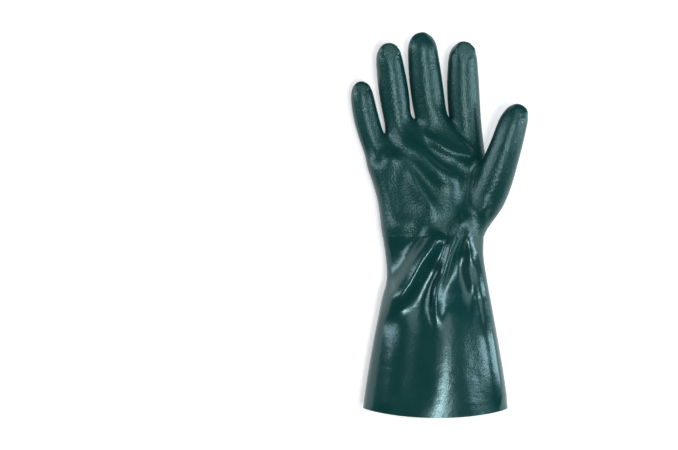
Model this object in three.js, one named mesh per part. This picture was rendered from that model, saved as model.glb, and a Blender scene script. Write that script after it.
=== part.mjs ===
// A right-hand PVC coated gauntlet glove, lying palm up on the surface that its back rests on. Two shells
// make it: the smooth gauntlet cuff, dipped once, and the rough hand, dipped twice and so a little
// thicker. The outer skin is a level set: soft-edged fingers, thumb and a sleeve of table-driven sections,
// joined with fillets, with folds pressed in. A quad cage is laid over it, evened out, and offset inwards
// to give the wall. X runs across the hand to the thumb side, Y along it to the fingertips, Z up out of
// the palm.
import * as THREE from 'three';

// Driving dimensions, in millimetres.
const CUFF_LENGTH = 163; // rim to wrist line
const PALM_LENGTH = 100; // wrist line to the web between ring and middle finger
const CUFF_WIDTH = 135;
const CUFF_DEPTH = 62;
const WRIST_WIDTH = 90;
const WRIST_DEPTH = 47;
const PALM_WIDTH = 108;
const PALM_DEPTH = 44;
const FINGER_LENGTH = 89; // middle finger, web line to tip
const FINGER_WIDTH = 30.8; // middle finger
const THUMB_WIDTH = 31;
const FOLD_WIDTH = 16; // the widest fold's, from foot to foot
const FOLD_HEIGHT = 4.5; // the highest fold's
const CUFF_WALL = 1.6; // fabric liner and one coat
const HAND_WALL = 2.0; // fabric liner and two coats
const WRIST_GAP = 0.3; // between the two shells, along the glove
const RIM_BOW = 5.5; // how much further the rim reaches at its middle than at its side creases
const WEB_FILLET = 4; // blend between the fingers and the palm
const THUMB_FILLET = 4;

// Cage density.
const FINGER_COLUMNS = 5; // quads across a finger, on the palm side and on the back
const SIDE_COLUMNS = 3; // quads over each edge of the hand, and over each side of a finger
const FINGER_COUNT = 4;
const CUFF_ROWS = 24;
const PALM_ROWS = 15;
const ROW_STEP = 6.8; // along the fingers
const THUMB_ROWS = 6; // rows of the body that the thumb takes up
const RELAX_ROUNDS = 60;
const NORMAL_ROUNDS = 2;

// The sleeve's sections, from the rim to past the knuckles. along: 0 rim, 1 wrist line, 2 finger roots.
// cuff and palm are the shares of those widths and depths in the section, the rest is wrist; full scales
// its width; shift is its centre's offset across, as a share of the palm width; rise and drop are the
// heights of its palm and back sides, as shares of its depth, from the resting surface; edge is the height
// of its widest line; square is the exponent of its outline.
const SECTIONS = [
  {
    along: -0.1, cuff: 1.03, palm: 0, full: 1.0,
    shift: 0, rise: 0.98, drop: -0.05, edge: 0.4, square: 2.0,
  },
  {
    along: 0.0, cuff: 1.0, palm: 0, full: 1.0,
    shift: 0, rise: 0.98, drop: -0.05, edge: 0.4, square: 2.0,
  },
  {
    along: 0.2, cuff: 0.8, palm: 0, full: 1.0,
    shift: 0, rise: 1.0, drop: -0.04, edge: 0.42, square: 2.0,
  },
  {
    along: 0.45, cuff: 0.48, palm: 0, full: 1.0,
    shift: 0, rise: 1.02, drop: -0.02, edge: 0.45, square: 2.05,
  },
  {
    along: 0.66, cuff: 0.16, palm: 0, full: 1.0,
    shift: 0.005, rise: 1.0, drop: 0.04, edge: 0.48, square: 2.1,
  },
  {
    along: 0.76, cuff: 0.0, palm: 0, full: 1.0,
    shift: 0.005, rise: 0.98, drop: 0.06, edge: 0.5, square: 2.15,
  },
  {
    along: 0.86, cuff: 0, palm: 0, full: 1.0,
    shift: -0.012, rise: 0.97, drop: 0.06, edge: 0.5, square: 2.15,
  },
  {
    along: 1.0, cuff: 0, palm: 0.15, full: 1.01,
    shift: -0.016, rise: 0.96, drop: 0.03, edge: 0.48, square: 2.2,
  },
  {
    along: 1.3, cuff: 0, palm: 0.5, full: 0.99,
    shift: -0.03, rise: 0.94, drop: -0.03, edge: 0.45, square: 2.3,
  },
  {
    along: 1.5, cuff: 0, palm: 0.7, full: 1.0,
    shift: -0.058, rise: 0.9, drop: -0.05, edge: 0.43, square: 2.4,
  },
  {
    along: 1.7, cuff: 0, palm: 1, full: 0.99,
    shift: -0.1, rise: 0.84, drop: -0.04, edge: 0.41, square: 2.4,
  },
  {
    along: 2.0, cuff: 0, palm: 1, full: 1.0,
    shift: -0.12, rise: 0.72, drop: -0.01, edge: 0.38, square: 2.5,
  },
  {
    along: 2.3, cuff: 0, palm: 1, full: 1.0,
    shift: -0.12, rise: 0.66, drop: 0.03, edge: 0.36, square: 2.5,
  },
];

// Fingers, from the little finger to the index. length and width: shares of the middle finger's; across:
// the root's centre as a share of the palm width; back: how far below the root line it starts, as a share
// of the palm length; lean: degrees towards the little finger's side; bend: sideways bow, as a share of
// the length; height and lift: of the root's and tip's centres, as shares of the palm depth; root and tip:
// the widths there, as shares of the width.
const FINGERS = [
  {
    length: 0.72, width: 0.75, across: -0.504, back: 0.19,
    lean: 12.8, bend: 0.04,
    height: 0.4, lift: 0.56, root: 1.0, tip: 0.86,
  },
  {
    length: 0.93, width: 0.9, across: -0.302, back: 0.04,
    lean: 8.5, bend: 0.0,
    height: 0.42, lift: 0.74, root: 0.86, tip: 0.84,
  },
  {
    length: 1.0, width: 1.0, across: -0.019, back: 0.0,
    lean: 7.4, bend: 0.012,
    height: 0.44, lift: 0.74, root: 0.95, tip: 0.85,
  },
  {
    length: 0.93, width: 0.98, across: 0.268, back: 0.03,
    lean: 2.5, bend: 0.017,
    height: 0.4, lift: 0.66, root: 0.97, tip: 0.84,
  },
];
const FINGER_ROOT = 30; // how far a finger's core runs back into the palm
const FINGER_FLATNESS = 0.82; // thickness over width
const THUMB_FLATNESS = 0.92;

// The thumb's core, from its ball at the wrist to its tip. across: share of the palm width; along as in
// SECTIONS; height: share of the palm depth; width: share of the thumb width.
const THUMB_CORE = [
  { across: 0.29, along: 1.16, height: 0.48, width: 1.19 },
  { across: 0.43, along: 1.335, height: 0.56, width: 1.17 },
  { across: 0.503, along: 1.53, height: 0.68, width: 1.1 },
  { across: 0.557, along: 1.71, height: 0.78, width: 0.99 },
  { across: 0.591, along: 1.82, height: 0.84, width: 0.93 },
  { across: 0.633, along: 1.985, height: 0.9, width: 0.86 },
  { across: 0.668, along: 2.085, height: 0.94, width: 0.76 },
];

// The webs between the fingers, from the little finger's side: place across, as a share of the palm width,
// and how far below the root line they lie, as a share of the palm length.
const WEBS = [
  { across: -0.61, back: 0.3 },
  { across: -0.38, back: 0.27 },
  { across: -0.169, back: 0.1 },
  { across: 0.141, back: 0.1 },
  { across: 0.41, back: 0.25 },
];
const THUMB_WEB = 0.34; // how far below the root line the thumb's web lies, as a share of the palm length

// Folds pressed into the skin. from and to are [across, along], across as a share of the palm width and
// along as in SECTIONS; bow: sideways, as a share of its length; width and height: shares of the fold
// width and height, the height negative for a hollow; side: 1 on the palm side, -1 on the back.
const FOLDS = [
  {
    name: 'broad ridge, wrist to heel',
    from: [0.02, 1.0], to: [-0.41, 0.57],
    bow: 0.02, width: 1.06, height: 1, side: 1,
  },
  {
    name: 'sharp ridge from the thumb',
    from: [0.22, 1.18], to: [-0.02, 0.58],
    bow: -0.04, width: 0.75, height: 0.89, side: 1,
  },
  {
    name: 'short ridge under the thumb',
    from: [0.22, 1.2], to: [0.31, 0.84],
    bow: 0.0, width: 0.56, height: 0.44, side: 1,
  },
  {
    name: 'ridge down the thumb side',
    from: [0.35, 0.88], to: [0.5, 0.1],
    bow: -0.02, width: 1, height: 0.56, side: 1,
  },
  {
    name: 'hollow above the heel',
    from: [-0.1, 1.1], to: [-0.42, 0.84],
    bow: 0.0, width: 1.5, height: -0.89, side: 1,
  },
  {
    name: 'hollow below the ridges',
    from: [-0.1, 0.66], to: [-0.2, 0.1],
    bow: 0.0, width: 1.62, height: -0.67, side: 1,
  },
  {
    name: 'hollow between the ridges',
    from: [0.2, 0.9], to: [0.2, 0.6],
    bow: 0.0, width: 1, height: -0.67, side: 1,
  },
  {
    name: 'long palm crease',
    from: [-0.32, 1.94], to: [0.22, 1.46],
    bow: -0.05, width: 1, height: 0.67, side: 1,
  },
  {
    name: 'crease to the thumb web',
    from: [-0.1, 1.94], to: [0.33, 1.71],
    bow: -0.07, width: 0.5, height: 0.56, side: 1,
  },
  {
    name: 'crease beside the thumb ball',
    from: [0.25, 1.65], to: [0.24, 1.2],
    bow: 0.0, width: 0.69, height: -0.78, side: 1,
  },
  {
    name: 'hollow of the palm',
    from: [-0.32, 1.62], to: [-0.2, 1.2],
    bow: 0.0, width: 2, height: -0.67, side: 1,
  },
  {
    name: 'pad under the little finger',
    from: [-0.46, 1.72], to: [-0.35, 1.74],
    bow: 0.0, width: 1, height: 0.44, side: 1,
  },
  {
    name: 'knuckle ridge on the back',
    from: [-0.2, 1.86], to: [0.3, 1.8],
    bow: 0.1, width: 0.88, height: 0.44, side: -1,
  },
  {
    name: 'wrist fold on the back',
    from: [0.2, 1.1], to: [-0.1, 0.78],
    bow: 0.0, width: 0.75, height: 0.44, side: -1,
  },
];

const LEAN = Math.PI / 180;
const clamp = (v, low, high) => Math.min(high, Math.max(low, v));
const lerp = (a, b, t) => a + (b - a) * t;
const smoothstep = (v) => clamp(v, 0, 1) ** 2 * (3 - 2 * clamp(v, 0, 1));

// Smooth minimum and maximum with a blend of k millimetres.
const blendMin = (a, b, k) => Math.min(a, b) - (Math.max(k - Math.abs(a - b), 0) ** 2) / (4 * k);
const blendMax = (a, b, k) => -blendMin(-a, -b, k);

// Distance from the rim for a place on the 0 rim, 1 wrist line, 2 finger roots scale, and back.
const alongToY = (v) => (v < 1 ? v * CUFF_LENGTH : CUFF_LENGTH + (v - 1) * PALM_LENGTH);
const yToAlong = (y) => (y < CUFF_LENGTH ? y / CUFF_LENGTH : 1 + (y - CUFF_LENGTH) / PALM_LENGTH);

// A table column read at a place between its rows, with a smooth curve through them.
function readColumn(rows, key, place, column) {
  const last = rows.length - 2;
  let i = 0;
  while (i < last && place > rows[i + 1][key]) i++;
  const [p0, p1, p2] = [rows[Math.max(i - 1, 0)], rows[i], rows[i + 1]];
  const p3 = rows[Math.min(i + 2, last + 1)];
  const t = clamp((place - p1[key]) / (p2[key] - p1[key]), 0, 1);
  const span = p2[key] - p1[key];
  const slope1 = ((p2[column] - p0[column]) / (p2[key] - p0[key] || 1)) * span;
  const slope2 = ((p3[column] - p1[column]) / (p3[key] - p1[key] || 1)) * span;
  const [t2, t3] = [t * t, t * t * t];
  return (
    (2 * t3 - 3 * t2 + 1) * p1[column] + (t3 - 2 * t2 + t) * slope1 +
    (3 * t2 - 2 * t3) * p2[column] + (t3 - t2) * slope2
  );
}

// The sleeve's section at y: centre, half width, and the heights of its palm side, widest line and back
// side.
const sectionCache = new Map();
function sectionAt(y) {
  const key = Math.round(y * 4);
  if (sectionCache.has(key)) return sectionCache.get(key);
  const along = yToAlong(key / 4);
  const read = (column) => readColumn(SECTIONS, 'along', along, column);
  const [cuff, palm] = [read('cuff'), read('palm')];
  const wrist = 1 - cuff - palm;
  const depth = cuff * CUFF_DEPTH + wrist * WRIST_DEPTH + palm * PALM_DEPTH;
  const section = {
    x: read('shift') * PALM_WIDTH,
    halfWidth: (read('full') * (cuff * CUFF_WIDTH + wrist * WRIST_WIDTH + palm * PALM_WIDTH)) / 2,
    edge: read('edge') * depth,
    rise: (read('rise') - read('edge')) * depth,
    drop: (read('edge') - read('drop')) * depth,
    square: read('square'),
  };
  sectionCache.set(key, section);
  return section;
}

// The line that the sleeve ends on, past which only fingers go on.
const WEB_POINTS = WEBS.map((w) => ({ x: w.across * PALM_WIDTH, y: alongToY(2) - w.back * PALM_LENGTH }));
const webLine = (x) => readColumn(WEB_POINTS, 'x', x, 'y');

function sleeveDistance(x, y, z) {
  const s = sectionAt(y);
  const up = z - s.edge;
  const height = up > 0 ? s.rise : s.drop;
  const [u, v] = [Math.abs(x - s.x) / s.halfWidth, Math.abs(up) / height];
  const g = (u ** s.square + v ** s.square) ** (1 / s.square);
  const slope = Math.hypot((u / g) ** (s.square - 1) / s.halfWidth, (v / g) ** (s.square - 1) / height);
  const side = g < 0.1 ? -Math.min(s.halfWidth, height) : (g - 1) / slope;
  return blendMax(side, y - webLine(x), 2 * WEB_FILLET);
}

// A finger's or thumb's core as points with radii.
const CORE_STEPS = 8;
function fingerCore(f) {
  const [length, width] = [f.length * FINGER_LENGTH, f.width * FINGER_WIDTH];
  const rootY = alongToY(2) - f.back * PALM_LENGTH;
  const [sin, cos] = [Math.sin(f.lean * LEAN), Math.cos(f.lean * LEAN)];
  const points = [];
  for (let i = 0; i <= CORE_STEPS; i++) {
    const reach = lerp(-FINGER_ROOT, length - (width * f.tip) / 2, i / CORE_STEPS);
    const share = reach / length;
    const bow = f.bend * length * 4 * share * (1 - share);
    const swell = lerp(f.root, 1, smoothstep(share / 0.4)) * lerp(1, f.tip, smoothstep((share - 0.45) / 0.5));
    points.push({
      x: f.across * PALM_WIDTH - sin * reach - bow * cos,
      y: rootY + cos * reach - bow * sin,
      z: PALM_DEPTH * (f.height + (f.lift - f.height) * Math.max(share, 0) ** 1.6),
      r: (width / 2) * swell,
    });
  }
  return { flat: FINGER_FLATNESS, points };
}
function thumbCore() {
  const points = THUMB_CORE.map((c) => ({
    x: c.across * PALM_WIDTH,
    y: alongToY(c.along),
    z: c.height * PALM_DEPTH,
    r: (c.width * THUMB_WIDTH) / 2,
  }));
  return { flat: THUMB_FLATNESS, points };
}
const FINGER_CORES = FINGERS.map(fingerCore);
const THUMB = thumbCore();

// Distance to a core: the nearest of its tapered segments, each flattened in height.
function coreDistance(core, x, y, z) {
  let nearest = Infinity;
  for (let i = 0; i + 1 < core.points.length; i++) {
    const [a, b] = [core.points[i], core.points[i + 1]];
    const [ex, ey, ez] = [b.x - a.x, b.y - a.y, b.z - a.z];
    const reach = (x - a.x) * ex + (y - a.y) * ey + (z - a.z) * ez;
    const t = clamp(reach / (ex * ex + ey * ey + ez * ez), 0, 1);
    const across = Math.hypot(x - a.x - ex * t, y - a.y - ey * t);
    const up = (z - a.z - ez * t) / core.flat;
    nearest = Math.min(nearest, Math.hypot(across, up) - lerp(a.r, b.r, t));
  }
  return nearest;
}

// How far the folds push the skin out at a place; upness is 1 on the palm side and -1 on the back.
function foldHeight(x, y, upness) {
  let total = 0;
  for (const f of FOLDS) {
    const weight = smoothstep(0.5 + f.side * upness * 1.5);
    if (!weight) continue;
    const [ax, ay] = [f.from[0] * PALM_WIDTH, alongToY(f.from[1])];
    const [bx, by] = [f.to[0] * PALM_WIDTH, alongToY(f.to[1])];
    const length = Math.hypot(bx - ax, by - ay);
    const [ux, uy] = [(bx - ax) / length, (by - ay) / length];
    const run = ((x - ax) * ux + (y - ay) * uy) / length;
    const off = (x - ax) * -uy + (y - ay) * ux - f.bow * length * 4 * run * (1 - run);
    const ends = smoothstep((run + 0.15) / 0.3) * smoothstep((1.15 - run) / 0.3);
    total += weight * f.height * FOLD_HEIGHT * ends * Math.exp(-4 * (off / (f.width * FOLD_WIDTH)) ** 2);
  }
  return total;
}

// The outer skin's level set: negative inside. It is flat where it would reach below the resting surface.
function skinDistance(x, y, z) {
  let d = sleeveDistance(x, y, z);
  d = blendMin(d, Math.min(...FINGER_CORES.map((core) => coreDistance(core, x, y, z))), WEB_FILLET);
  d = blendMin(d, coreDistance(THUMB, x, y, z), THUMB_FILLET);
  const s = sectionAt(y);
  d -= foldHeight(x, y, clamp((z - s.edge) / s.rise, -1, 1));
  return Math.max(d, -z);
}

const PROBE = 0.4;
function skinGradient(p) {
  return new THREE.Vector3(
    skinDistance(p.x + PROBE, p.y, p.z) - skinDistance(p.x - PROBE, p.y, p.z),
    skinDistance(p.x, p.y + PROBE, p.z) - skinDistance(p.x, p.y - PROBE, p.z),
    skinDistance(p.x, p.y, p.z + PROBE) - skinDistance(p.x, p.y, p.z - PROBE),
  ).divideScalar(2 * PROBE);
}

// Moves a vertex onto the skin; one on an open end moves only across and up.
function pullToSkin(v) {
  const g = skinGradient(v.p);
  if (v.end) g.y = 0;
  const slope = g.lengthSq();
  if (slope > 1e-6) v.p.addScaledVector(g, -clamp(skinDistance(v.p.x, v.p.y, v.p.z) / slope, -8, 8));
}

// The quad cage. A vertex on an open end of a shell names that end; give is how far it evens out in one
// round: less in a web, and not at all on a fingertip.
const FREE_GIVE = 0.5;
const WEB_GIVE = 0.12;
const TOP_COLUMNS = FINGER_COLUMNS * FINGER_COUNT;
const RING = 2 * (TOP_COLUMNS + SIDE_COLUMNS);
const cage = { verts: [], quads: [] };
const addVertex = (x, y, z, end = '') => {
  cage.verts.push({ p: new THREE.Vector3(x, y, z), end, give: FREE_GIVE });
  return cage.verts.length - 1;
};

// Joins two rings of vertex numbers with quads; skip leaves out the quads that an opening takes.
function joinRings(lower, upper, part, skip = () => false) {
  lower.forEach((a, i) => {
    const next = (i + 1) % lower.length;
    if (!skip(i)) cage.quads.push({ part, corners: [a, lower[next], upper[next], upper[i]] });
  });
}

// Closes a ring of 2 * (across + around) vertices with a dome of quads; the ring runs over the palm side
// first.
function capRing(ring, across, around, core, part) {
  const end = core.points.at(-1);
  const before = core.points.at(-2);
  const axis = new THREE.Vector3(end.x - before.x, end.y - before.y, end.z - before.z).normalize();
  const side = new THREE.Vector3(axis.y, -axis.x, 0).normalize();
  const up = new THREE.Vector3().crossVectors(side, axis);
  const domeVertex = (u, v) => {
    const [a, b] = [u * Math.sqrt(1 - v ** 2 / 2), v * Math.sqrt(1 - u ** 2 / 2)];
    const reach = Math.hypot(a, b) || 1;
    const turn = (Math.hypot(a, b) * Math.PI) / 2;
    const p = new THREE.Vector3(end.x, end.y, end.z)
      .addScaledVector(side, (end.r * Math.sin(turn) * a) / reach)
      .addScaledVector(up, (end.r * core.flat * Math.sin(turn) * b) / reach)
      .addScaledVector(axis, end.r * Math.cos(turn));
    const vertex = addVertex(p.x, p.y, p.z);
    cage.verts[vertex].give = 0;
    return vertex;
  };
  const grid = [];
  for (let j = 0; j <= around; j++) {
    grid.push([]);
    for (let i = 0; i <= across; i++) {
      if (j === 0) grid[j].push(ring[i]);
      else if (j === around) grid[j].push(ring[2 * across + around - i]);
      else if (i === 0) grid[j].push(ring[ring.length - j]);
      else if (i === across) grid[j].push(ring[across + j]);
      else grid[j].push(domeVertex((2 * i) / across - 1, 1 - (2 * j) / around));
    }
  }
  for (let j = 0; j < around; j++) {
    for (let i = 0; i < across; i++) {
      const corners = [grid[j][i], grid[j][i + 1], grid[j + 1][i + 1], grid[j + 1][i]];
      cage.quads.push({ part, corners });
    }
  }
}

// A tube of rings along a core, from an open ring to the closed tip. firstAngle is that of the ring's
// first vertex.
function growTube(base, core, from, firstAngle, across, around, part) {
  const rest = core.points.slice(from);
  let length = 0;
  const reach = rest.map((p, i) => (length += i ? Math.hypot(p.x - rest[i - 1].x, p.y - rest[i - 1].y) : 0));
  const rows = Math.max(3, Math.round(length / ROW_STEP));
  let ring = base;
  for (let j = 1; j <= rows; j++) {
    const at = (length * j) / rows;
    let i = 0;
    while (i < rest.length - 2 && at > reach[i + 1]) i++;
    const [a, b] = [rest[i], rest[i + 1]];
    const t = (at - reach[i]) / (reach[i + 1] - reach[i]);
    const flat = Math.hypot(b.x - a.x, b.y - a.y);
    const [sideX, sideY] = [(b.y - a.y) / flat, -(b.x - a.x) / flat];
    const r = lerp(a.r, b.r, t);
    const upper = base.map((_, k) => {
      const angle = firstAngle - (2 * Math.PI * k) / base.length;
      const [side, up] = [Math.cos(angle) * r, Math.sin(angle) * r * core.flat];
      const centre = new THREE.Vector3(lerp(a.x, b.x, t), lerp(a.y, b.y, t), lerp(a.z, b.z, t));
      return addVertex(centre.x + sideX * side, centre.y + sideY * side, centre.z + up);
    });
    joinRings(ring, upper, part);
    ring = upper;
  }
  capRing(ring, across, around, core, part);
}

// The angle round a section of each vertex of a body ring: palm side left to right, then the back right to
// left.
const SIDE_SPAN = 0.36; // radians above and below the widest line that the side columns cover
function bodyAngle(i) {
  const half = RING / 2;
  const j = i % half;
  const turn = i < half ? 0 : Math.PI;
  const span = Math.PI - 2 * SIDE_SPAN;
  if (j <= TOP_COLUMNS) return Math.PI - SIDE_SPAN - (span * j) / TOP_COLUMNS - turn;
  return SIDE_SPAN - (2 * SIDE_SPAN * (j - TOP_COLUMNS)) / SIDE_COLUMNS - turn;
}

// How far along the glove the rim lies at a place across: it is cut with a slight bow.
const rimY = (x) => RIM_BOW * clamp((2 * x) / CUFF_WIDTH, -1, 1) ** 2;

function bodyRing(row) {
  const isPalm = row > CUFF_ROWS;
  const ring = [];
  for (let i = 0; i < RING; i++) {
    const angle = bodyAngle(i);
    const place = (y) => {
      const s = sectionAt(y);
      const up = Math.sin(angle);
      return { x: s.x + s.halfWidth * Math.cos(angle), z: s.edge + up * (up > 0 ? s.rise : s.drop) };
    };
    const share = isPalm ? (row - CUFF_ROWS) / PALM_ROWS : row / CUFF_ROWS;
    const guess = place(isPalm ? alongToY(2) : 0).x;
    const [low, high] = isPalm ? [CUFF_LENGTH, webLine(guess) - WEB_FILLET / 2] : [rimY(guess), CUFF_LENGTH];
    const y = lerp(low, high, share);
    const { x, z } = place(y);
    ring.push(addVertex(x, y, z, { 0: 'rim', [CUFF_ROWS]: 'wrist' }[row]));
  }
  return ring;
}

// The thumb leaves the body through a window on the index side, this many columns wide and THUMB_ROWS high.
const WINDOW_COLUMNS = SIDE_COLUMNS + 2;
const WINDOW_LEFT = TOP_COLUMNS - 1;
const WINDOW_RIGHT = WINDOW_LEFT + WINDOW_COLUMNS;
const WINDOW_LOW = CUFF_ROWS + 3;
const WINDOW_HIGH = WINDOW_LOW + THUMB_ROWS;

function buildCage() {
  const rings = [];
  for (let row = 0; row <= CUFF_ROWS + PALM_ROWS; row++) rings.push(bodyRing(row));
  for (let row = 0; row < CUFF_ROWS + PALM_ROWS; row++) {
    const inWindow = (i) => row >= WINDOW_LOW && row < WINDOW_HIGH && i >= WINDOW_LEFT && i < WINDOW_RIGHT;
    joinRings(rings[row], rings[row + 1], row < CUFF_ROWS ? 'gauntlet_cuff' : 'hand', inWindow);
  }

  const last = rings.at(-1);
  const bottom = (column) => last[RING - SIDE_COLUMNS - column];
  // Each web is a short chain of vertices from the palm side to the back, shared by the fingers beside it.
  const webChain = (column) => {
    const steps = Array.from({ length: SIDE_COLUMNS - 1 }, (_, k) => k);
    if (column === 0) return steps.map((k) => last[RING - 1 - k]);
    if (column === TOP_COLUMNS) return steps.map((k) => last[TOP_COLUMNS + 1 + k]);
    const [a, b] = [cage.verts[last[column]].p, cage.verts[bottom(column)].p];
    return steps.map((k) => {
      const p = a.clone().lerp(b, (k + 1) / SIDE_COLUMNS);
      const vertex = addVertex(p.x, webLine(p.x), p.z);
      cage.verts[vertex].give = WEB_GIVE;
      return vertex;
    });
  };
  const chains = Array.from({ length: FINGER_COUNT + 1 }, (_, f) => webChain(f * FINGER_COLUMNS));
  FINGER_CORES.forEach((core, f) => {
    const first = f * FINGER_COLUMNS;
    const columns = Array.from({ length: FINGER_COLUMNS + 1 }, (_, k) => first + k);
    const base = [
      ...columns.map((c) => last[c]),
      ...chains[f + 1],
      ...columns.toReversed().map((c) => bottom(c)),
      ...chains[f].toReversed(),
    ];
    const step = (2 * Math.PI) / base.length;
    growTube(base, core, 3, Math.PI / 2 + (step * FINGER_COLUMNS) / 2, FINGER_COLUMNS, SIDE_COLUMNS, 'hand');
  });

  const window = [];
  for (let i = WINDOW_LEFT; i <= WINDOW_RIGHT; i++) {
    const corner = cage.verts[rings[WINDOW_HIGH][i]];
    corner.p.y = alongToY(2) - THUMB_WEB * PALM_LENGTH;
  }
  for (let i = WINDOW_LEFT; i < WINDOW_RIGHT; i++) window.push(rings[WINDOW_LOW][i]);
  for (let row = WINDOW_LOW; row < WINDOW_HIGH; row++) window.push(rings[row][WINDOW_RIGHT]);
  for (let i = WINDOW_RIGHT; i > WINDOW_LEFT; i--) window.push(rings[WINDOW_HIGH][i]);
  for (let row = WINDOW_HIGH; row > WINDOW_LOW; row--) window.push(rings[row][WINDOW_LEFT]);
  const step = (2 * Math.PI) / window.length;
  growTube(window, THUMB, 2, (step * WINDOW_COLUMNS) / 2, WINDOW_COLUMNS, THUMB_ROWS, 'hand');
}

function cageNeighbours() {
  const neighbours = cage.verts.map(() => new Set());
  for (const { corners } of cage.quads) {
    corners.forEach((v, i) => {
      neighbours[v].add(corners[(i + 1) % 4]);
      neighbours[v].add(corners[(i + 3) % 4]);
    });
  }
  return neighbours;
}

// Evens the cage out over the skin: each vertex moves towards its neighbours' middle, then back onto the
// skin.
function relaxCage(neighbours) {
  const settle = (v) => {
    if (v.end === 'rim') v.p.y = rimY(v.p.x);
    pullToSkin(v);
  };
  for (let round = 0; round < RELAX_ROUNDS; round++) {
    const middles = cage.verts.map((v, i) => {
      const sum = new THREE.Vector3();
      let count = 0;
      for (const n of neighbours[i]) {
        if (v.end && !cage.verts[n].end) continue;
        sum.add(cage.verts[n].p);
        count++;
      }
      return sum.divideScalar(count);
    });
    cage.verts.forEach((v, i) => {
      const y = v.p.y;
      v.p.lerp(middles[i], v.give);
      if (v.end) v.p.y = y;
      settle(v);
    });
  }
  for (let round = 0; round < 3; round++) cage.verts.forEach(settle);
}

// The cage's normals, evened out so that the wall stays clear of itself in the webs.
function cageNormals(neighbours) {
  let normals = cage.verts.map(() => new THREE.Vector3());
  for (const { corners } of cage.quads) {
    const [a, b, c, d] = corners.map((v) => cage.verts[v].p);
    const area = new THREE.Vector3().crossVectors(c.clone().sub(a), d.clone().sub(b));
    for (const v of corners) normals[v].add(area);
  }
  for (let round = 0; round < NORMAL_ROUNDS; round++) {
    normals.forEach((n) => n.normalize());
    normals = normals.map((n, i) => {
      const sum = n.clone();
      for (const other of neighbours[i]) sum.addScaledVector(normals[other], 1 / neighbours[i].size);
      return sum;
    });
  }
  cage.verts.forEach((v, i) => {
    if (v.end) normals[i].setY(0);
    normals[i].normalize();
  });
  return normals;
}

// A closed shell of one part's quads: the skin, moved out by grow, its copy wall further in, and the bands
// that join them round each open end. shift moves an open end at the wrist line along the glove, to leave
// the gap there.
function shellGeometry(part, normals, wall, grow, shift) {
  const quads = cage.quads.filter((q) => q.part === part);
  const number = new Map();
  const outer = [];
  const inner = [];
  for (const { corners } of quads) {
    for (const c of corners) {
      if (number.has(c)) continue;
      number.set(c, outer.length);
      const p = cage.verts[c].p.clone();
      if (cage.verts[c].end === 'wrist') p.y += shift;
      const moved = p.clone().addScaledVector(normals[c], grow);
      moved.z = Math.max(moved.z, 0);
      outer.push(moved);
      inner.push(p.addScaledVector(normals[c], grow - wall));
    }
  }
  const position = [...outer, ...inner].flatMap((p) => [p.x, p.y, p.z]);
  const index = [];
  const at = (i) => (i < outer.length ? outer[i] : inner[i - outer.length]);
  const addQuad = (a, b, c, d) => {
    const split = at(a).distanceTo(at(c)) < at(b).distanceTo(at(d));
    index.push(...(split ? [a, b, c, a, c, d] : [a, b, d, b, c, d]));
  };
  const edges = new Map();
  for (const { corners } of quads) {
    const [a, b, c, d] = corners.map((v) => number.get(v));
    addQuad(a, b, c, d);
    addQuad(d + outer.length, c + outer.length, b + outer.length, a + outer.length);
    for (const [s, e] of [[a, b], [b, c], [c, d], [d, a]]) {
      if (!edges.delete(e + '-' + s)) edges.set(s + '-' + e, [s, e]);
    }
  }
  for (const [s, e] of edges.values()) addQuad(e, s, s + outer.length, e + outer.length);
  const geometry = new THREE.BufferGeometry();
  geometry.setAttribute('position', new THREE.Float32BufferAttribute(position, 3));
  geometry.setIndex(index);
  geometry.computeVertexNormals();
  return geometry;
}

buildCage();
const neighbours = cageNeighbours();
relaxCage(neighbours);
const normals = cageNormals(neighbours);

const smoothCoat = new THREE.MeshStandardMaterial({ color: 0x14483f, roughness: 0.32, metalness: 0 });
const roughCoat = new THREE.MeshStandardMaterial({ color: 0x17493f, roughness: 0.5, metalness: 0 });
const cuffShell = shellGeometry('gauntlet_cuff', normals, CUFF_WALL, 0, -WRIST_GAP / 2);
const cuff = new THREE.Mesh(cuffShell, smoothCoat);
cuff.name = 'gauntlet_cuff';
const handShell = shellGeometry('hand', normals, HAND_WALL, HAND_WALL - CUFF_WALL, WRIST_GAP / 2);
const hand = new THREE.Mesh(handShell, roughCoat);
hand.name = 'hand';

// The glove's own origin is the middle of its bounding box, on the resting surface.
const glove = new THREE.Group();
glove.add(cuff, hand);
const middle = new THREE.Box3().setFromObject(glove).getCenter(new THREE.Vector3());
cuff.position.set(-middle.x, -middle.y, 0);
hand.position.copy(cuff.position);

export default glove;
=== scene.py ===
"""Looks of a right-hand PVC coated gauntlet glove that lies palm up on a pale floor.

Each shell of the frame is copied, welded into quads, subdivided, evened out, and sculpted: soft creases of
the palm, folds of the wrist and the sleeve, flats on the fingertips. The inside faces get a knitted fabric,
the outside and the cut edges the coating.
Lengths are in millimetres up to the mesh, in the frame's own axes: X to the thumb, Y to the fingertips, Z up.
"""

import math

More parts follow.
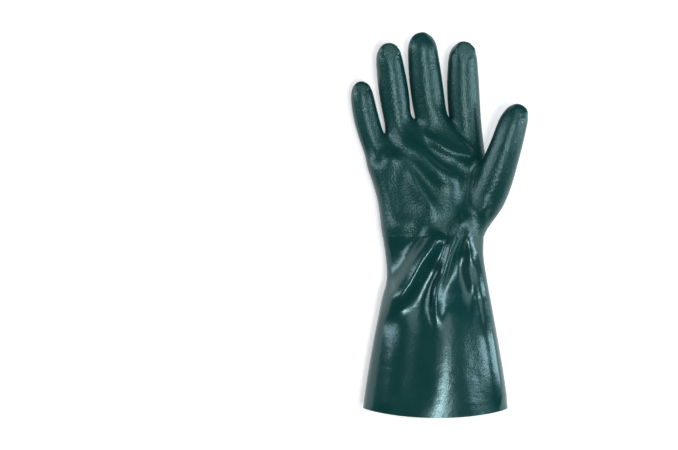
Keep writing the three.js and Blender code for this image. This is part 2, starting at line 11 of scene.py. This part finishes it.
import bmesh
import bpy
import numpy as np
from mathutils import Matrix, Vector


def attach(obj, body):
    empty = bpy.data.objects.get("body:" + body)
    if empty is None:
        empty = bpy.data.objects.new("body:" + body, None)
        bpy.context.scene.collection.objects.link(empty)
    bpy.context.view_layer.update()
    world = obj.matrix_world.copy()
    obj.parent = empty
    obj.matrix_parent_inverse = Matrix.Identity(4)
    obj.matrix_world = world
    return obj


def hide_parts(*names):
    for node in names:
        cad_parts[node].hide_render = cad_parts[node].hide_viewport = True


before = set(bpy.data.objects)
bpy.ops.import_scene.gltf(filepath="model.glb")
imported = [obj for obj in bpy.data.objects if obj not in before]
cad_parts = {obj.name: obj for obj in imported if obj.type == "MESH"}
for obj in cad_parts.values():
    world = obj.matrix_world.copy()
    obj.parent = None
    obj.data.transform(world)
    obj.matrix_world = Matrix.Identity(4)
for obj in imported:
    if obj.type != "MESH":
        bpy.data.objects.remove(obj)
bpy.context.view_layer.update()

MM = 0.001
WELD = 2e-6  # metres within which two corners are one
LEVELS = 2  # rounds of subdivision
KEEN_ANGLE = math.radians(60)  # an edge that turns more than this parts two layers of the wall
EDGE_KEENNESS = 0.8  # of the cut edges, in the subdivision
EVEN_ROUNDS = 20
EVEN_STEP = 0.6

FLOOR_SIZE = 6.0
FLOOR_DROP = 0.0002

# The camera looks straight down, at the photograph's scale, from a place in mm.
CAMERA_AT = (-91.3, -2.8, 1400.0)
CAMERA_LENS = 79.6

OUTSIDE, INSIDE, CUT = 0, 1, 2

# Folds and creases. points: [across, along] in mm; wide: half widths in mm on the right and on the left of
# the run; high: height in mm, negative for a hollow; fade: the shares of the run over which it rises and
# dies out; keen: from 0, a round crest, to 1, a sharp one.
PALM_FOLDS = [
    {"name": "crease under the index", "points": [[-4, 112], [2, 98], [16, 78], [33, 58]],
     "wide": [8, 4], "high": 2.2, "fade": [0.4, 0.15], "keen": 0.7},
    {"name": "crease under the middle finger", "points": [[-17, 84], [0, 70], [17, 62], [34, 57]],
     "wide": [5, 4], "high": 2.6, "fade": [0.3, 0.15], "keen": 0.9},
    {"name": "hollow above the long fold", "points": [[-30, 86], [-12, 66], [6, 52], [22, 47]],
     "wide": [7, 6], "high": -1.6, "fade": [0.3, 0.3], "keen": 0.0},
    {"name": "long palm fold", "points": [[-31, 79], [-20, 66], [-8, 53], [6, 42], [20, 36]],
     "wide": [10, 7], "high": 3.2, "fade": [0.4, 0.35], "keen": 0.6},
    {"name": "hollow below the long fold", "points": [[-36, 74], [-22, 54], [-8, 34], [4, 18]],
     "wide": [5, 5], "high": -1.3, "fade": [0.3, 0.3], "keen": 0.0},
    {"name": "low palm fold", "points": [[-30, 58], [-21, 34], [-9, 16], [2, 3]],
     "wide": [8, 6], "high": 2.6, "fade": [0.35, 0.3], "keen": 0.5},
    {"name": "hollow of the palm's edge", "points": [[-44, 44], [-36, 18], [-34, -6]],
     "wide": [9, 10], "high": -1.6, "fade": [0.3, 0.3], "keen": 0.0},
    {"name": "little finger's pad", "points": [[-54, 60], [-46, 60], [-40, 63]],
     "wide": [6, 6], "high": 1.8, "fade": [0.5, 0.3], "keen": 0.2},
    {"name": "crease round the thumb's ball", "points": [[31, 56], [28, 44], [26, 28], [26, 12]],
     "wide": [7, 5], "high": -1.8, "fade": [0.3, 0.5], "keen": 0.2},
    {"name": "thumb's ball", "points": [[47, 20], [40, 12], [34, 4]],
     "wide": [6, 6], "high": 1.6, "fade": [0.4, 0.4], "keen": 0.2},
    {"name": "dent on the thumb's ball", "points": [[50, 12], [42, 4]],
     "wide": [4, 4], "high": -1.2, "fade": [0.4, 0.4], "keen": 0.2},
]
CUFF_FOLDS = [
    {"name": "broad fold", "points": [[2, -8], [-6, -22], [-16, -36], [-27, -56], [-40, -74], [-50, -88]],
     "wide": [14, 6], "high": 6.5, "fade": [0.12, 0.3], "keen": 0.8},
    {"name": "hollow above the broad fold", "points": [[-14, -2], [-24, -22], [-34, -40], [-42, -58]],
     "wide": [8, 8], "high": -1.2, "fade": [0.25, 0.3], "keen": 0.0},
    {"name": "hollow below the broad fold", "points": [[2, -34], [-8, -56], [-20, -80], [-26, -100]],
     "wide": [12, 10], "high": -1.5, "fade": [0.2, 0.6], "keen": 0.0},
    {"name": "left side fold", "points": [[-44, -78], [-48, -98], [-50, -130], [-53, -172]],
     "wide": [9, 7], "high": 1.0, "fade": [0.3, 0.1], "keen": 0.0},
    {"name": "sharp ridge",
     "points": [[22, 10], [16, -6], [9, -22], [3, -44], [-4, -62], [-5, -84], [-3, -104]],
     "wide": [4, 7], "high": 5.0, "fade": [0.1, 0.4], "keen": 0.9},
    {"name": "hollow right of the sharp ridge", "points": [[18, -22], [14, -44], [10, -66]],
     "wide": [5, 6], "high": -1.0, "fade": [0.25, 0.4], "keen": 0.0},
    {"name": "right branch", "points": [[22, 8], [25, -8], [28, -24], [30, -46]],
     "wide": [4, 7], "high": 2.2, "fade": [0.3, 0.5], "keen": 0.5},
    {"name": "inner streak", "points": [[24, -30], [28, -50], [34, -72]],
     "wide": [5, 8], "high": 1.8, "fade": [0.4, 0.4], "keen": 0.3},
    {"name": "right side fold",
     "points": [[40, -20], [36, -38], [38, -56], [42, -80], [48, -116], [56, -172]],
     "wide": [5, 8], "high": 3.0, "fade": [0.2, 0.1], "keen": 0.6},
    {"name": "hollow beside the right fold", "points": [[33, -48], [36, -74], [40, -104]],
     "wide": [5, 5], "high": -1.3, "fade": [0.4, 0.4], "keen": 0.0},
    {"name": "left notch", "points": [[-48, -50], [-42, -60], [-38, -70]],
     "wide": [4, 4], "high": -1.2, "fade": [0.3, 0.5], "keen": 0.0},
]
BACK_FOLDS = [
    {"name": "knuckle fold", "points": [[-42, 66], [-26, 76], [0, 78], [18, 68], [24, 80]],
     "wide": [5, 5], "high": 1.6, "fade": [0.2, 0.2], "keen": 0.4},
    {"name": "wrist fold", "points": [[28, 2], [14, -14], [2, -24]],
     "wide": [6, 5], "high": 2.2, "fade": [0.2, 0.3], "keen": 0.5},
    {"name": "second wrist fold", "points": [[-22, 16], [-10, -4], [2, -24]],
     "wide": [6, 5], "high": 2.2, "fade": [0.2, 0.3], "keen": 0.5},
]
# Flats on the fingertips: place and half sizes across and along in mm, turn in degrees, the flat's rise
# across and along, and how much of it is pressed in.
PADS = [
    {"name": "index", "at": [24, 157], "half": [11, 11], "turn": 0, "rise": [0.0, 0.02], "press": 0.9},
    {"name": "ring", "at": [-44, 157], "half": [12, 9], "turn": 8, "rise": [-0.05, 0.0], "press": 0.85},
    {"name": "little", "at": [-70, 125], "half": [9, 7], "turn": 20, "rise": [-0.05, 0.0], "press": 0.7},
    {"name": "middle", "at": [-20, 169], "half": [11, 8], "turn": 10, "rise": [-0.1, -0.1], "press": 0.6},
    {"name": "thumb", "at": [73, 102], "half": [9, 9], "turn": -25, "rise": [0.12, -0.05], "press": 0.6},
]
PAD_RIM = 0.72  # share of a flat's reach at which it starts to blend into the round tip
PAD_FOOT = 0.8  # where the flat starts, as a share of its half size towards the palm
PAD_FOOT_REACH = 2.0

# A keen fold's cross-section: its reach as a share of the width, and how much its crest and feet are rounded.
KEEN_REACH = 1.2
CREST_ROUNDING = 0.04
FOOT_ROUNDING = 0.03

# Which directions count as the palm side and as the back: the upward share of the skin's direction out.
PALM_SIDE = (-0.15, 0.45)
BACK_SIDE = (0.1, 0.7)
SKIN_ABOVE_FLOOR = 0.05

# The dip line across the wrist, where the hand's rough coat meets the cuff's smooth one.
WRIST_LINE = -12.4
DIP_STEP = 0.28  # how far the rough coat's edge feathers down to the smooth coat
DIP_RUN = 7.0  # the length over which it does
DIP_LAP = 1.2  # how far the rough coat laps over the smooth one, as a second dip does
DIP_WAVE = 0.35  # how far the dip line wanders
DIP_WAVE_RUN = 6.0
DIP_WAVE_START = 1.0
DIP_WAVE_REACH = 14.0
END_SHIFT = 0.149  # how far each shell's end is carried towards the other, which leaves a hairline
END_REACH = 1.5


def smoothstep(low, high, value):
    t = np.clip((value - low) / (high - low), 0.0, 1.0)
    return t * t * (3.0 - 2.0 * t)


def spline(points, steps=12):
    """A smooth curve through the points, as an array of (x, y)."""
    p = np.array(points, float)
    p = np.vstack([2 * p[0] - p[1], p, 2 * p[-1] - p[-2]])
    out = []
    for i in range(1, len(p) - 2):
        for t in np.linspace(0, 1, steps, endpoint=False):
            out.append(
                0.5
                * (
                    2 * p[i]
                    + (p[i + 1] - p[i - 1]) * t
                    + (2 * p[i - 1] - 5 * p[i] + 4 * p[i + 1] - p[i + 2]) * t * t
                    + (3 * p[i] - p[i - 1] - 3 * p[i + 1] + p[i + 2]) * t**3
                )
            )
    out.append(p[-2])
    return np.array(out)


def fold_height(fold, xy):
    """How far a fold lifts the skin at each place."""
    line = spline(fold["points"])
    seg = np.diff(line, axis=0)
    size = np.hypot(*seg.T)
    reach = np.concatenate([[0], np.cumsum(size)])
    best = np.full(len(xy), np.inf)
    side = np.zeros(len(xy))
    run = np.zeros(len(xy))
    for i, (a, d, length) in enumerate(zip(line, seg, size)):
        rel = xy - a
        t = np.clip((rel @ d) / length**2, 0, 1)
        off = rel - t[:, None] * d
        dist = np.hypot(*off.T)
        near = dist < best
        best[near] = dist[near]
        side[near] = (d[0] * off[near, 1] - d[1] * off[near, 0]) / length
        run[near] = (reach[i] + t[near] * length) / reach[-1]
    wide = np.where(side < 0, fold["wide"][0], fold["wide"][1])
    u = best / wide
    round_form = np.exp(-(u**2))
    ramp = KEEN_REACH - np.sqrt(u * u + CREST_ROUNDING)
    keen_form = 0.5 * (ramp + np.sqrt(ramp * ramp + FOOT_ROUNDING))
    form = round_form * (1 - fold["keen"]) + keen_form * fold["keen"]
    start, end = fold["fade"]
    ends = smoothstep(0, max(start, 1e-3), run) * smoothstep(0, max(end, 1e-3), 1 - run)
    return fold["high"] * form * ends


def quads_of(node):
    """The node's mesh as a bmesh, with its seams welded and its triangles joined into quads."""
    bm = bmesh.new()
    bm.from_mesh(node.data)
    bmesh.ops.remove_doubles(bm, verts=bm.verts, dist=WELD)
    for face_limit, shape_limit in ((0.6, 0.9), (math.pi, math.pi)):
        triangles = [f for f in bm.faces if len(f.verts) == 3]
        bmesh.ops.join_triangles(
            bm, faces=triangles, angle_face_threshold=face_limit, angle_shape_threshold=shape_limit
        )
    bm.normal_update()
    return bm


def flood(first, allowed):
    """The faces that one face reaches among the allowed ones, over edges that aren't keen."""
    reached, todo = {first}, [first]
    while todo:
        for edge in todo.pop().edges:
            if edge.calc_face_angle(math.pi) > KEEN_ANGLE:
                continue
            for other in edge.link_faces:
                if other in allowed and other not in reached:
                    reached.add(other)
                    todo.append(other)
    return reached


def mark_layers(bm):
    """Gives each face its layer: outside, inside, or the cut edge that joins them."""
    top = max(bm.faces, key=lambda f: f.calc_center_median().z)
    outside = flood(top, set(bm.faces))
    left = set(bm.faces) - outside
    islands = []
    while left:
        islands.append(flood(next(iter(left)), left))
        left -= islands[-1]
    inside = max(islands, key=len)
    for face in bm.faces:
        face.material_index = OUTSIDE if face in outside else INSIDE if face in inside else CUT
        face.smooth = True


def parts_layers(edge):
    return len({f.material_index for f in edge.link_faces}) > 1


def dress(node_name, name):
    """A smooth, dense copy of a node, as a new object, whose edges between the layers are sharp."""
    bm = quads_of(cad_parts[node_name])
    mark_layers(bm)
    crease = bm.edges.layers.float.new("crease_edge")
    for edge in bm.edges:
        if parts_layers(edge):
            edge[crease] = EDGE_KEENNESS
    mesh = bpy.data.meshes.new(name)
    bm.to_mesh(mesh)
    bm.free()
    obj = bpy.data.objects.new(name, mesh)
    bpy.context.scene.collection.objects.link(obj)
    sub = obj.modifiers.new("smooth", "SUBSURF")
    sub.levels = sub.render_levels = LEVELS
    sub.boundary_smooth = "PRESERVE_CORNERS"
    bpy.context.view_layer.update()
    dense = bpy.data.meshes.new_from_object(obj.evaluated_get(bpy.context.evaluated_depsgraph_get()))
    obj.modifiers.clear()
    obj.data = dense
    bpy.data.meshes.remove(mesh)
    dense.name = name
    bm = bmesh.new()
    bm.from_mesh(dense)
    for edge in bm.edges:
        edge.smooth = not parts_layers(edge)
    bm.to_mesh(dense)
    bm.free()
    return obj


def coordinates(mesh):
    """The corners' places in mm."""
    out = np.empty(len(mesh.vertices) * 3)
    mesh.vertices.foreach_get("co", out)
    return out.reshape(-1, 3) / MM


def set_coordinates(mesh, points):
    mesh.vertices.foreach_set("co", (points * MM).ravel())
    mesh.update()


def outward(mesh):
    """Each vertex's direction out of the glove, on the inside faces too, and which ones are inside."""
    normals = np.empty(len(mesh.vertices) * 3)
    mesh.vertices.foreach_get("normal", normals)
    normals = normals.reshape(-1, 3)
    inside = np.zeros(len(mesh.vertices), bool)
    for poly in mesh.polygons:
        if poly.material_index == INSIDE:
            inside[list(poly.vertices)] = True
    # At a cut edge the direction must not lean along the glove, or the folds would open the dip line.
    for edge in mesh.edges:
        if edge.use_edge_sharp:
            for v in edge.vertices:
                normals[v, 1] = 0
    normals /= np.linalg.norm(normals, axis=1)[:, None]
    return np.where(inside[:, None], -normals, normals), inside


def even_out(mesh, rounds):
    """Evens the surface out without shrinking it, except along the cut edges."""
    points = coordinates(mesh)
    ends = np.empty(len(mesh.edges) * 2, int)
    mesh.edges.foreach_get("vertices", ends)
    a, b = ends.reshape(-1, 2).T
    count = np.bincount(ends, minlength=len(points))[:, None]
    loops = np.array([e.use_edge_sharp for e in mesh.edges])
    held = np.zeros(len(points), bool)
    held[a[loops]] = held[b[loops]] = True

    def softened(field):
        field = field.copy()
        for _ in range(rounds):
            total = np.zeros_like(field)
            for axis in range(3):
                total[:, axis] = np.bincount(a, field[b, axis], len(field))
                total[:, axis] += np.bincount(b, field[a, axis], len(field))
            field[~held] += EVEN_STEP * (total / count - field)[~held]
        return field

    # What softening takes off in the large is given back, which leaves out only the small unevenness.
    soft = softened(points)
    set_coordinates(mesh, soft + softened(points - soft))


def press_pad(pad, points, chosen):
    """Presses a fingertip's flat into one layer of the wall, with a keen rim round it."""
    turn = math.radians(pad["turn"])
    rel = points[:, :2] - np.array(pad["at"], float)
    u = (rel[:, 0] * math.cos(turn) + rel[:, 1] * math.sin(turn)) / pad["half"][0]
    v = (rel[:, 1] * math.cos(turn) - rel[:, 0] * math.sin(turn)) / pad["half"][1]
    reach = np.hypot(u, v)
    foot = -PAD_FOOT * pad["half"][1] * np.array([math.sin(-turn), math.cos(turn)])
    middle = chosen & (np.hypot(*(rel - foot).T) < PAD_FOOT_REACH)
    level = points[middle, 2].mean() + (rel - foot) @ np.array(pad["rise"])
    weight = pad["press"] * (1 - smoothstep(PAD_RIM, 1.0, reach)) * chosen
    points[:, 2] += weight * (level - points[:, 2])


def sculpt(obj, is_hand):
    """Presses the folds into a piece, its inside along with its outside."""
    even_out(obj.data, EVEN_ROUNDS)
    points = coordinates(obj.data)
    out, inside = outward(obj.data)
    up = smoothstep(*PALM_SIDE, out[:, 2])
    down = smoothstep(*BACK_SIDE, -out[:, 2])
    if is_hand:
        for pad in PADS:
            for layer in (inside, ~inside):
                press_pad(pad, points, layer & (up > 0.5))
    xy = points[:, :2]
    lift = np.zeros(len(points))
    for fold in PALM_FOLDS + CUFF_FOLDS:
        lift += up * fold_height(fold, xy)
    for fold in BACK_FOLDS:
        lift += down * fold_height(fold, xy)

    near_line = 1 - smoothstep(0, DIP_WAVE_REACH, np.abs(points[:, 1] - WRIST_LINE))
    points[:, 1] += DIP_WAVE * near_line * np.sin(points[:, 0] / DIP_WAVE_RUN + DIP_WAVE_START)
    closing = END_SHIFT * (1 - smoothstep(0, END_REACH, np.abs(points[:, 1] - WRIST_LINE)))
    points[:, 1] += closing * (-1 if is_hand else 1)
    if is_hand:
        points[:, 1] -= ~inside * DIP_LAP * (1 - smoothstep(0, DIP_RUN, points[:, 1] - WRIST_LINE))
        lift -= ~inside * DIP_STEP * (1 - smoothstep(0, DIP_RUN, points[:, 1] - WRIST_LINE))
    moved = points + out * lift[:, None]
    moved[:, 2] = np.maximum(moved[:, 2], np.minimum(points[:, 2], SKIN_ABOVE_FLOOR))
    set_coordinates(obj.data, moved)


def node(tree, kind, **values):
    """A new shader node, with the given inputs or settings."""
    n = tree.nodes.new(kind)
    for key, value in values.items():
        if key in n.inputs:
            n.inputs[key].default_value = value
        else:
            setattr(n, key, value)
    return n


def coating(name, base, rough, grain_size, grain_depth, wrinkle_depth):
    """PVC coating: a slightly uneven colour, gloss from the shader, grain and soft wrinkles from bump."""
    material = bpy.data.materials.new(name)
    material.use_nodes = True
    tree = material.node_tree
    tree.nodes.clear()
    link = tree.links.new
    place = node(tree, "ShaderNodeTexCoord")
    bsdf = node(tree, "ShaderNodeBsdfPrincipled")
    bsdf.inputs["IOR"].default_value = 1.5
    bsdf.inputs["Specular IOR Level"].default_value = 0.5
    bsdf.inputs["Specular Tint"].default_value = (0.62, 0.95, 1.0, 1)
    out = node(tree, "ShaderNodeOutputMaterial")
    link(bsdf.outputs["BSDF"], out.inputs["Surface"])

    patch = node(tree, "ShaderNodeTexNoise", Scale=28.0, Detail=3.0)
    link(place.outputs["Object"], patch.inputs["Vector"])
    tint = node(tree, "ShaderNodeMix", data_type="RGBA")
    tint.inputs["A"].default_value = (*[c * 0.82 for c in base], 1)
    tint.inputs["B"].default_value = (*[c * 1.18 for c in base], 1)
    link(patch.outputs["Fac"], tint.inputs["Factor"])
    link(tint.outputs["Result"], bsdf.inputs["Base Color"])

    gloss = node(tree, "ShaderNodeMapRange")
    gloss.inputs["To Min"].default_value = rough * 0.85
    gloss.inputs["To Max"].default_value = rough * 1.15
    link(patch.outputs["Fac"], gloss.inputs["Value"])
    link(gloss.outputs["Result"], bsdf.inputs["Roughness"])

    grain = node(tree, "ShaderNodeTexNoise", Scale=1.0 / (grain_size * MM), Detail=2.0, Roughness=0.6)
    link(place.outputs["Object"], grain.inputs["Vector"])
    wave = node(tree, "ShaderNodeTexNoise", Scale=90.0, Detail=3.0, Roughness=0.55)
    link(place.outputs["Object"], wave.inputs["Vector"])
    soft = node(tree, "ShaderNodeBump", Strength=1.0, Distance=wrinkle_depth * MM)
    link(wave.outputs["Fac"], soft.inputs["Height"])
    fine = node(tree, "ShaderNodeBump", Strength=1.0, Distance=grain_depth * MM)
    link(grain.outputs["Fac"], fine.inputs["Height"])
    link(soft.outputs["Normal"], fine.inputs["Normal"])
    link(fine.outputs["Normal"], bsdf.inputs["Normal"])
    return material


def knit(name):
    """The bare side of the knitted fabric: off-white, with fine ribs along the glove."""
    material = bpy.data.materials.new(name)
    material.use_nodes = True
    tree = material.node_tree
    tree.nodes.clear()
    link = tree.links.new
    place = node(tree, "ShaderNodeTexCoord")
    bsdf = node(tree, "ShaderNodeBsdfPrincipled")
    bsdf.inputs["Roughness"].default_value = 0.9
    bsdf.inputs["Specular IOR Level"].default_value = 0.2
    bsdf.inputs["Sheen Weight"].default_value = 0.3
    out = node(tree, "ShaderNodeOutputMaterial")
    link(bsdf.outputs["BSDF"], out.inputs["Surface"])
    wales = node(tree, "ShaderNodeTexWave", Scale=160.0, Distortion=1.2, bands_direction="X")
    link(place.outputs["Object"], wales.inputs["Vector"])
    courses = node(tree, "ShaderNodeTexWave", Scale=220.0, Distortion=1.2, bands_direction="Y")
    link(place.outputs["Object"], courses.inputs["Vector"])
    both = node(tree, "ShaderNodeMath", operation="MULTIPLY")
    link(wales.outputs["Fac"], both.inputs[0])
    link(courses.outputs["Fac"], both.inputs[1])
    tint = node(tree, "ShaderNodeMix", data_type="RGBA")
    tint.inputs["A"].default_value = (0.42, 0.44, 0.40, 1)
    tint.inputs["B"].default_value = (0.80, 0.80, 0.74, 1)
    link(both.outputs["Value"], tint.inputs["Factor"])
    link(tint.outputs["Result"], bsdf.inputs["Base Color"])
    bump = node(tree, "ShaderNodeBump", Strength=0.8, Distance=0.3 * MM)
    link(both.outputs["Value"], bump.inputs["Height"])
    link(bump.outputs["Normal"], bsdf.inputs["Normal"])
    return material


# Softboxes: place in metres, the point that each looks at, size in metres, watts, colour.
LIGHTS = {
    "overhead_softbox": ((0.2, 0.6, 2.0), (0, 0, 0), (0.9, 0.7), 5.0, (1, 1, 1)),
    "finger_softbox": ((0.12, -0.28, 2.0), (0, 0, 0), (0.16, 0.3), 10.0, (1, 1, 1)),
    "cuff_softbox": ((0.33, -0.07, 2.0), (0, 0, 0), (0.2, 0.2), 4.0, (1, 1, 1)),
    "left_softbox": ((-1.2, 0.3, 0.58), (0, 0, 0.02), (0.25, 1.4), 10, (0.93, 0.94, 1.0)),
    "right_softbox": ((1.2, 0.0, 0.56), (0, 0, 0.02), (0.2, 1.4), 13, (0.86, 0.94, 1.0)),
}
WORLD_STRENGTH = 0.07


def area_light(name, at, towards, size, watts, colour):
    data = bpy.data.lights.new(name, "AREA")
    data.shape = "RECTANGLE"
    data.size, data.size_y = size
    data.energy = watts
    data.color = colour
    light = bpy.data.objects.new(name, data)
    light.location = Vector(at)
    light.rotation_euler = (Vector(towards) - Vector(at)).to_track_quat("-Z", "Y").to_euler()
    bpy.context.scene.collection.objects.link(light)


def floor_material():
    material = bpy.data.materials.new("pale_floor")
    material.use_nodes = True
    bsdf = material.node_tree.nodes["Principled BSDF"]
    bsdf.inputs["Base Color"].default_value = (0.95, 0.95, 0.95, 1)
    bsdf.inputs["Roughness"].default_value = 0.9
    bsdf.inputs["Specular IOR Level"].default_value = 0.1
    bsdf.inputs["Emission Color"].default_value = (1, 1, 1, 1)
    bsdf.inputs["Emission Strength"].default_value = 0.4
    return material


def build_stage():
    mesh = bpy.data.meshes.new("floor")
    half = FLOOR_SIZE / 2
    mesh.from_pydata(
        [(-half, -half, 0), (half, -half, 0), (half, half, 0), (-half, half, 0)], [], [(0, 1, 2, 3)]
    )
    mesh.materials.append(floor_material())
    floor = bpy.data.objects.new("floor", mesh)
    floor.location.z = -FLOOR_DROP
    bpy.context.scene.collection.objects.link(floor)

    world = bpy.data.worlds.new("studio")
    bpy.context.scene.world = world
    world.use_nodes = True
    background = world.node_tree.nodes["Background"]
    background.inputs["Color"].default_value = (1, 1, 1, 1)
    background.inputs["Strength"].default_value = WORLD_STRENGTH

    for name, row in LIGHTS.items():
        area_light(name, *row)

    data = bpy.data.cameras.new("camera")
    data.lens = CAMERA_LENS
    data.sensor_width = 36.0
    camera = bpy.data.objects.new("camera", data)
    camera.location = Vector(CAMERA_AT) * MM
    bpy.context.scene.collection.objects.link(camera)
    bpy.context.scene.camera = camera
    bpy.context.scene.view_settings.view_transform = "Standard"


hand = dress("hand", "glove_hand")
cuff = dress("gauntlet_cuff", "glove_cuff")
inner_knit = knit("knitted_fabric")
rough_coat = coating(
    "rough_pvc", base=(0.003, 0.042, 0.039), rough=0.29, grain_size=1.9, grain_depth=0.36, wrinkle_depth=0.25
)
smooth_coat = coating(
    "smooth_pvc", base=(0.003, 0.041, 0.039), rough=0.22, grain_size=2.0, grain_depth=0.03, wrinkle_depth=0.30
)
for piece, coat, node_name, slot in (
    (hand, rough_coat, "hand", "rough_coat"),
    (cuff, smooth_coat, "gauntlet_cuff", "smooth_coat"),
):
    sculpt(piece, node_name == "hand")
    for material in (coat, inner_knit, coat):
        piece.data.materials.append(material)
    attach(piece, "root")
    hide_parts(node_name)

build_stage()
